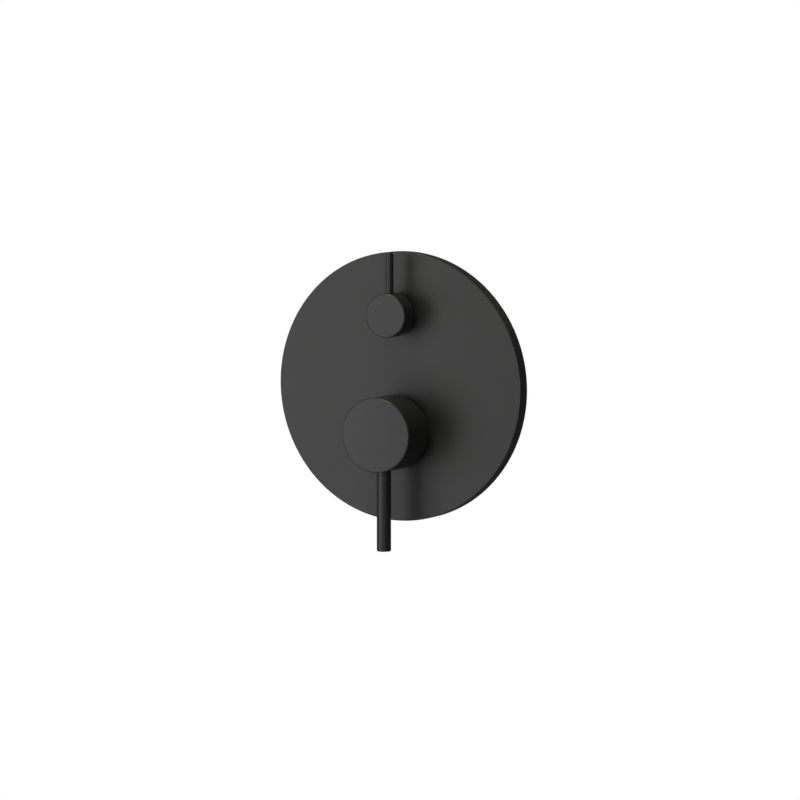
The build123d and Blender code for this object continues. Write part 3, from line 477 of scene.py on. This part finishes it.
def matte_black(name, smoothest, roughest):
    """Black coat with slow patches between two roughnesses."""
    material, tree, surface, place = new_finish(name)
    skin = use(tree, grain, Coordinates=place, Grains=2200.0, Patches=70.0)
    tree.links.new(mix_colour(tree, skin["Patch"], COAT_DARK, COAT_LIGHT), surface["Base Color"])
    tree.links.new(mix_value(tree, skin["Patch"], smoothest, roughest), surface["Roughness"])
    add_bump(tree, surface, skin["Height"], depth=0.000012, strength=0.5)
    return material


dress(matte_black("matte_black_plate", smoothest=0.40, roughest=0.44),
      "wall_plate", "main_sleeve", "diverter_sleeve")
dress(matte_black("matte_black_knobs", smoothest=0.36, roughest=0.40),
      "main_knob", "main_lever_pin", "diverter_knob", "diverter_lever_pin")


# Plate seal: a ring of closed-cell foam in the back of the plate's rim, pressed against the wall. Cut
# from sheet, so its faces show opened cells. Its colour darkens towards the border of each cell: this is
# painted shade for the hollows of the opened cells, not a colour of the foam.

FOAM_SKIN = (0.060, 0.060, 0.063, 1)
FOAM_PAINTED_SHADE = (0.028, 0.028, 0.030, 1)
CELL_SHARE = 0.8
foam, tree, surface, place = new_finish("closed_cell_foam")
cells = put(tree, "ShaderNodeTexVoronoi", {"Vector": place, "Scale": 900.0}).outputs["Distance"]
skin = use(tree, grain, Coordinates=place, Grains=1800.0, Patches=120.0)
# painted shade: the foam's colour darkens with the distance from each cell's centre, standing in for shade
# in the opened cells
painted_cell_shade = reckon(tree, "MULTIPLY", cells, skin["Patch"])
tree.links.new(mix_colour(tree, painted_cell_shade, FOAM_SKIN, FOAM_PAINTED_SHADE), surface["Base Color"])
surface["Roughness"].default_value = 0.9
relief = reckon(tree, "MULTIPLY_ADD", cells, CELL_SHARE, skin["Height"])
add_bump(tree, surface, relief, depth=0.0003, strength=0.8)
dress(foam, "plate_seal")


# Studio: a pale floor far below the part and a white backdrop, both lit apart from it. The plate and the
# knobs mirror two tall softboxes at the left and a dimmer one at the right. Two warm ones hang overhead,
# and a small one behind the plate lights the casting.

FLOOR_Z = -1.1
FLOOR_RADIUS = 1.0
FLOOR_SIDES = 96
FLOOR_DULL = (0.80, 0.80, 0.79, 1)
FLOOR_PALE = (0.84, 0.84, 0.83, 1)
FLOOR_GLOW = 0.64
WHITE = (1, 1, 1, 1)
floor_mesh = bpy.data.meshes.new("floor")
rim = [2 * pi * side / FLOOR_SIDES for side in range(FLOOR_SIDES)]
floor_points = [(FLOOR_RADIUS * cos(a), FLOOR_RADIUS * sin(a), FLOOR_Z) for a in rim]
floor_mesh.from_pydata(floor_points, [], [list(range(FLOOR_SIDES))])
floor = bpy.data.objects.new("floor", floor_mesh)
bpy.context.scene.collection.objects.link(floor)
pale, tree, surface, place = new_finish("pale_floor")
skin = use(tree, grain, Coordinates=place, Grains=300.0, Patches=3.0)
tree.links.new(mix_colour(tree, skin["Patch"], FLOOR_DULL, FLOOR_PALE), surface["Base Color"])
surface["Roughness"].default_value = 0.7
surface["Emission Color"].default_value = WHITE
seen = put(tree, "ShaderNodeLightPath").outputs["Is Camera Ray"]
tree.links.new(reckon(tree, "MULTIPLY", seen, FLOOR_GLOW), surface["Emission Strength"])
floor_mesh.materials.append(pale)

NEUTRAL = (1.0, 1.0, 1.0)
WARM = (1.0, 0.96, 0.77)
CLOSE = 0.36
NEAR = 0.6
FAR = 1.5
WIDE_OPEN = 180.0
HOODED = 40.0


def softbox(name, azimuth, elevation, width, height, radiance, distance, colour=NEUTRAL, spread=WIDE_OPEN):
    """Area light that faces the part from a direction; azimuth 0 is straight ahead of the plate."""
    turn, tilt = radians(azimuth), radians(elevation)
    lamp = bpy.data.lights.new(name, "AREA")
    lamp.shape = "RECTANGLE"
    lamp.size = width
    lamp.size_y = height
    lamp.energy = radiance * pi * width * height
    lamp.color = colour
    lamp.spread = radians(spread)
    light = bpy.data.objects.new(name, lamp)
    way = Vector((sin(turn) * cos(tilt), -cos(turn) * cos(tilt), sin(tilt)))
    light.location = way * distance
    light.rotation_euler = way.to_track_quat("Z", "Y").to_euler()
    light.visible_camera = False
    bpy.context.scene.collection.objects.link(light)


softbox("left_softbox", azimuth=-36.0, elevation=-2.5, width=0.30, height=0.70,
        radiance=1.085, distance=NEAR)
softbox("front_softbox", azimuth=-30.0, elevation=-2.5, width=0.585, height=0.70,
        radiance=0.73, distance=NEAR)
softbox("right_softbox", azimuth=20.0, elevation=5.0, width=0.535, height=0.60,
        radiance=0.455, distance=NEAR)
softbox("top_softbox", azimuth=-18.0, elevation=65.0, width=0.60, height=0.45,
        radiance=11.0, distance=FAR, colour=WARM)
softbox("zenith_softbox", azimuth=-18.0, elevation=85.0, width=0.60, height=0.45,
        radiance=5.0, distance=FAR, colour=WARM)
softbox("body_softbox", azimuth=180.0, elevation=6.0, width=0.12, height=0.12,
        radiance=2.2, distance=CLOSE, spread=HOODED)

AMBIENT = 0.076
BACKDROP = 1.0
world = bpy.data.worlds.new("studio")
bpy.context.scene.world = world
world.use_nodes = True
tree = world.node_tree
tree.nodes.clear()
seen = put(tree, "ShaderNodeLightPath").outputs["Is Camera Ray"]
strength = mix_value(tree, seen, AMBIENT, BACKDROP)
backdrop = put(tree, "ShaderNodeBackground", {"Color": WHITE, "Strength": strength})
put(tree, "ShaderNodeOutputWorld", {"Surface": backdrop.outputs["Background"]})
bpy.context.scene.view_settings.view_transform = "Standard"


# Camera: at the photograph's angle, right of the plate's front and a little above it, with a long lens
# from nearly three metres away.

AZIMUTH = radians(27.006)
ELEVATION = radians(5.097)
DISTANCE = 2.8619
LENS = 203.92
AIM_LEFT = 0.00353
AIM_DOWN = 0.00918
back = Vector((sin(AZIMUTH) * cos(ELEVATION), -cos(AZIMUTH) * cos(ELEVATION), sin(ELEVATION)))
right = Vector((cos(AZIMUTH), sin(AZIMUTH), 0.0))
aim = right * -AIM_LEFT - back.cross(right) * AIM_DOWN
eye = back * DISTANCE
camera = bpy.data.objects.new("camera", bpy.data.cameras.new("camera"))
camera.data.lens = LENS
camera.location = eye
camera.rotation_euler = (eye - aim).to_track_quat("Z", "Y").to_euler()
bpy.context.scene.collection.objects.link(camera)
bpy.context.scene.camera = camera
